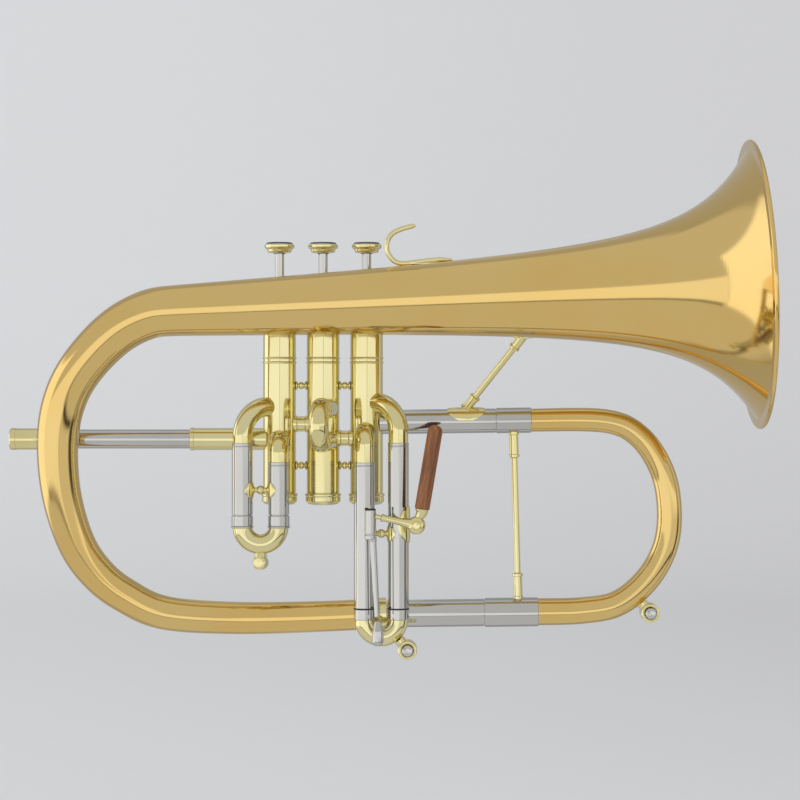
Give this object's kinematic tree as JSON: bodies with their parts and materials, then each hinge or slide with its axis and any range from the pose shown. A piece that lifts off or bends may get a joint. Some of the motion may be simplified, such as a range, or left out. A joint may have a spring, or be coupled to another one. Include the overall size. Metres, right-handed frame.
{
  "type": "flugelhorn",
  "caption": "Piston-valve flugelhorn: conical bell and bow, three sprung valves, pull-out slides, third-slide trigger, water keys and a mouthpiece receiver.",
  "frame": {"origin": "on the middle valve's axis, at the height of its ports, where the left hand holds the valve block", "axes": "+X to the bell's mouth, +Z to the finger buttons, -Y to the side that the second slide points to"},
  "size_m": [0.4106, 0.156, 0.2813],
  "materials": {
    "gold_brass": "lacquered gold brass, polished",
    "yellow_brass": "lacquered yellow brass, polished",
    "nickel_silver": "polished nickel silver",
    "spring_steel": "bright spring wire",
    "rosewood": "oiled rosewood",
    "button_inlay": "dark blue-black inlay, glossy",
    "black_rubber": "black rubber rings",
    "felt": "black felt washers"
  },
  "bodies": {
    "body": {"bell": "gold_brass", "main_bow": "gold_brass", "bell_stay": "yellow_brass", "finger_hook": "yellow_brass", "valve_casing_1": "yellow_brass", "top_cap_1": "yellow_brass", "bottom_cap_1": "yellow_brass", "valve_spring_1": "spring_steel", "valve_casing_2": "yellow_brass", "top_cap_2": "yellow_brass", "bottom_cap_2": "yellow_brass", "valve_spring_2": "spring_steel", "valve_casing_3": "yellow_brass", "top_cap_3": "yellow_brass", "bottom_cap_3": "yellow_brass", "valve_spring_3": "spring_steel", "casing_knuckle_1": "yellow_brass", "casing_stay_upper_1": "yellow_brass", "casing_stay_lower_1": "yellow_brass", "casing_knuckle_2": "yellow_brass", "casing_stay_upper_2": "yellow_brass", "casing_stay_lower_2": "yellow_brass", "leadpipe_sleeve": "yellow_brass", "slide_1_elbow_outer": "yellow_brass", "slide_1_elbow_inner": "yellow_brass", "slide_1_stay": "yellow_brass", "slide_1_sleeve_outer": "nickel_silver", "slide_1_sleeve_inner": "nickel_silver", "slide_3_elbow_outer": "yellow_brass", "slide_3_elbow_inner": "yellow_brass", "slide_3_stay": "yellow_brass", "slide_3_sleeve_outer": "nickel_silver", "slide_3_sleeve_inner": "nickel_silver", "slide_2_sleeve_upper": "yellow_brass", "slide_2_sleeve_lower": "yellow_brass", "trigger_saddle": "yellow_brass", "tuning_sleeve_upper": "nickel_silver", "tuning_sleeve_lower": "nickel_silver"},
    "mouthpipe": {"leadpipe": "nickel_silver", "mouthpiece_receiver": "yellow_brass"},
    "tuning_slide": {"tuning_bow": "gold_brass", "tuning_stay": "yellow_brass", "tuning_water_key": "yellow_brass"},
    "tuning_key_button": {"tuning_water_key_button": "nickel_silver"},
    "first_slide": {"slide_1_bow": "yellow_brass", "slide_1_knob": "yellow_brass"},
    "second_slide": {"slide_2_bow": "yellow_brass"},
    "third_slide": {"slide_3_bow": "yellow_brass", "slide_3_foot": "nickel_silver", "slide_3_water_key": "yellow_brass"},
    "third_key_button": {"slide_3_water_key_button": "nickel_silver"},
    "trigger_link": {"trigger_link": "nickel_silver"},
    "trigger_lever": {"trigger_lever": "yellow_brass", "trigger_grip": "rosewood"},
    "valve_1": {"piston_1": "nickel_silver", "finger_button_1": "yellow_brass"},
    "valve_2": {"piston_2": "nickel_silver", "finger_button_2": "yellow_brass"},
    "valve_3": {"piston_3": "nickel_silver", "finger_button_3": "yellow_brass"}
  },
  "joints": [
    {"name": "valve_1", "type": "slide", "parent": "body", "child": "valve_1", "axis": [0, 0, -1], "range_m": [0, 0.016], "stiffness_N_per_m": 150, "springref_m": -0.015, "deforming": ["valve_spring_1"]},
    {"name": "valve_2", "type": "slide", "parent": "body", "child": "valve_2", "axis": [0, 0, -1], "range_m": [0, 0.016], "stiffness_N_per_m": 150, "springref_m": -0.015, "deforming": ["valve_spring_2"]},
    {"name": "valve_3", "type": "slide", "parent": "body", "child": "valve_3", "axis": [0, 0, -1], "range_m": [0, 0.016], "stiffness_N_per_m": 150, "springref_m": -0.015, "deforming": ["valve_spring_3"]},
    {"name": "mouthpipe", "type": "slide", "parent": "body", "child": "mouthpipe", "axis": [-1, 0, 0], "range_m": [0, 0.02]},
    {"name": "tuning_slide", "type": "slide", "parent": "body", "child": "tuning_slide", "axis": [0.9999, 0, 0.0131], "range_m": [0, 0.03]},
    {"name": "tuning_key", "type": "slide", "parent": "tuning_slide", "child": "tuning_key_button", "axis": [0, 1, 0], "range_m": [0, 0.0016], "stiffness_N_per_m": 300, "springref_m": -0.003},
    {"name": "first_slide", "type": "slide", "parent": "body", "child": "first_slide", "axis": [0, 0, -1], "range_m": [0, 0.018]},
    {"name": "second_slide", "type": "slide", "parent": "body", "child": "second_slide", "axis": [-0.1253, -0.9921, 0], "range_m": [0, 0.008]},
    {"name": "third_slide", "type": "slide", "parent": "body", "child": "third_slide", "axis": [0, 0, -1], "range_m": [0, 0.014], "stiffness_N_per_m": 100, "springref_m": -0.02},
    {"name": "third_key", "type": "slide", "parent": "third_slide", "child": "third_key_button", "axis": [0, 1, 0], "range_m": [0, 0.0016], "stiffness_N_per_m": 300, "springref_m": -0.003},
    {"name": "trigger_lever", "type": "hinge", "parent": "body", "child": "trigger_lever", "pos_m": [0.0513, -0.02645, -0.0567], "axis": [0, -1, 0], "range_deg": [0, 33]},
    {"name": "trigger_link", "type": "hinge", "parent": "third_slide", "child": "trigger_link", "pos_m": [0.03, -0.02645, -0.106], "axis": [0, 1, 0], "range_deg": [0, 1.2]}
  ],
  "couplings": [
    {"joint": "trigger_lever", "follows": "third_slide", "rad_per_m": 40.7},
    {"joint": "trigger_link", "follows": "third_slide", "rad_per_m": 1.31}
  ]
}
